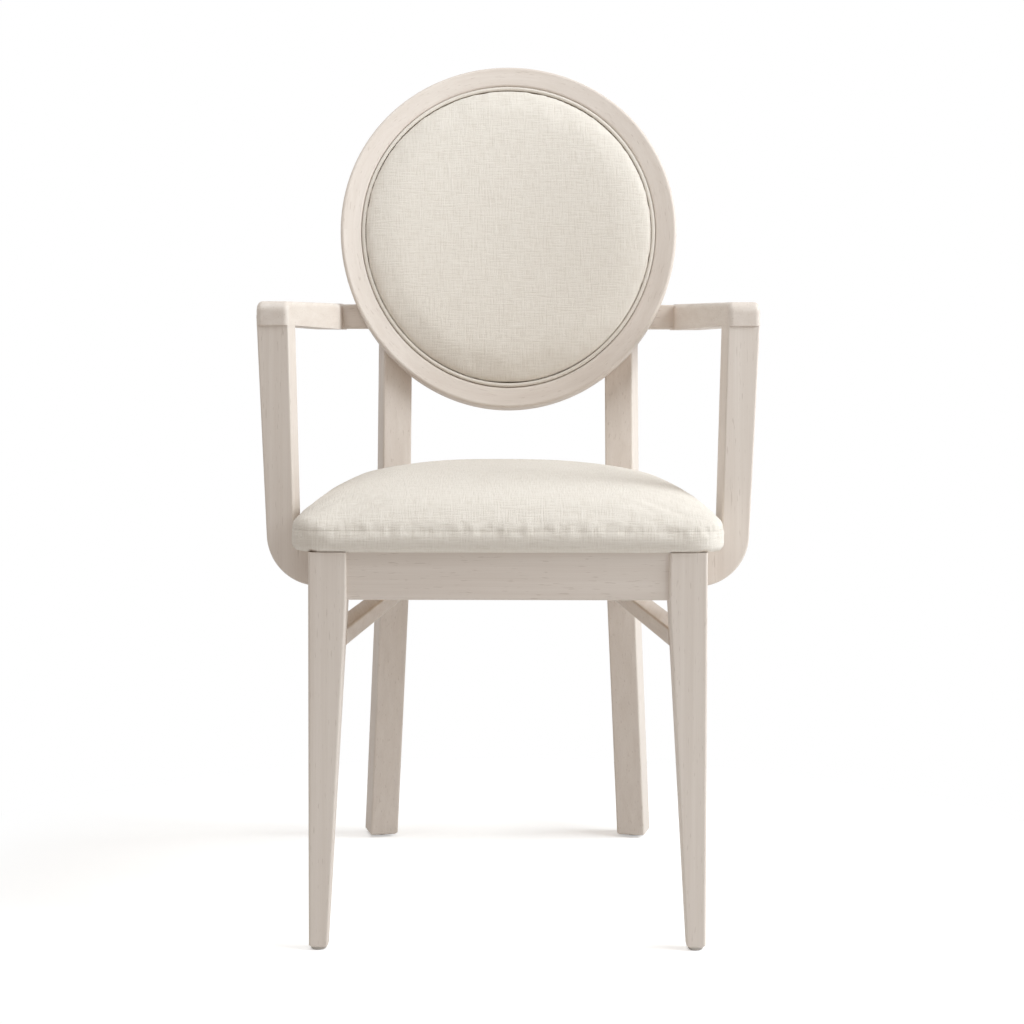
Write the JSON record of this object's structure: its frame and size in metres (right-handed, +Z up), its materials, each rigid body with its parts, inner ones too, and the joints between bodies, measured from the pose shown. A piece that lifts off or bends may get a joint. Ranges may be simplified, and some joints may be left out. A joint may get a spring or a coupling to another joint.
{
  "type": "armchair",
  "caption": "Upholstered dining armchair with a round reclined back in a bent ring frame, square-ended arms on J-shaped supports, tapered front legs and side stretchers.",
  "frame": {"origin": "middle of the footprint at the floor, centred on the whole chair's width and depth", "axes": "+Z up, -Y the way the sitter faces, X across the seat with +X on the viewer's right from the front"},
  "size_m": [0.5322, 0.5576, 0.958],
  "materials": {
    "bleached_beech": "whitewashed beech with a thin matt lacquer",
    "block_beech": "sawn beech, unfinished",
    "dowel_beech": "fluted beech dowel, unfinished",
    "plywood": "birch plywood",
    "woven_fabric": "cream slubby plain weave over foam",
    "welt_fabric": "the same cream fabric wrapped round a cord",
    "zinc_screws": "zinc plated",
    "glide_plastic": "moulded"
  },
  "bodies": {
    "root": {"arm_dowels": "dowel_beech", "arm_left": "bleached_beech", "arm_return_left": "bleached_beech", "arm_return_right": "bleached_beech", "arm_right": "bleached_beech", "arm_support_left": "bleached_beech", "arm_support_right": "bleached_beech", "arm_support_screws": "zinc_screws", "back_board": "plywood", "back_pad_front": "woven_fabric", "back_pad_rear": "woven_fabric", "back_ring": "bleached_beech", "back_ring_screws": "zinc_screws", "back_welt_front": "welt_fabric", "back_welt_rear": "welt_fabric", "corner_block_front_left": "block_beech", "corner_block_front_right": "block_beech", "corner_block_rear_left": "block_beech", "corner_block_rear_right": "block_beech", "corner_block_screws": "zinc_screws", "foot_glides": "glide_plastic", "front_leg_left": "bleached_beech", "front_leg_right": "bleached_beech", "front_rail": "bleached_beech", "rear_post_left": "bleached_beech", "rear_post_right": "bleached_beech", "rear_rail": "bleached_beech", "seat_board": "plywood", "seat_board_screws": "zinc_screws", "seat_cushion": "woven_fabric", "side_rail_left": "bleached_beech", "side_rail_right": "bleached_beech", "side_stretcher_left": "bleached_beech", "side_stretcher_right": "bleached_beech"}
  },
  "joints": []
}
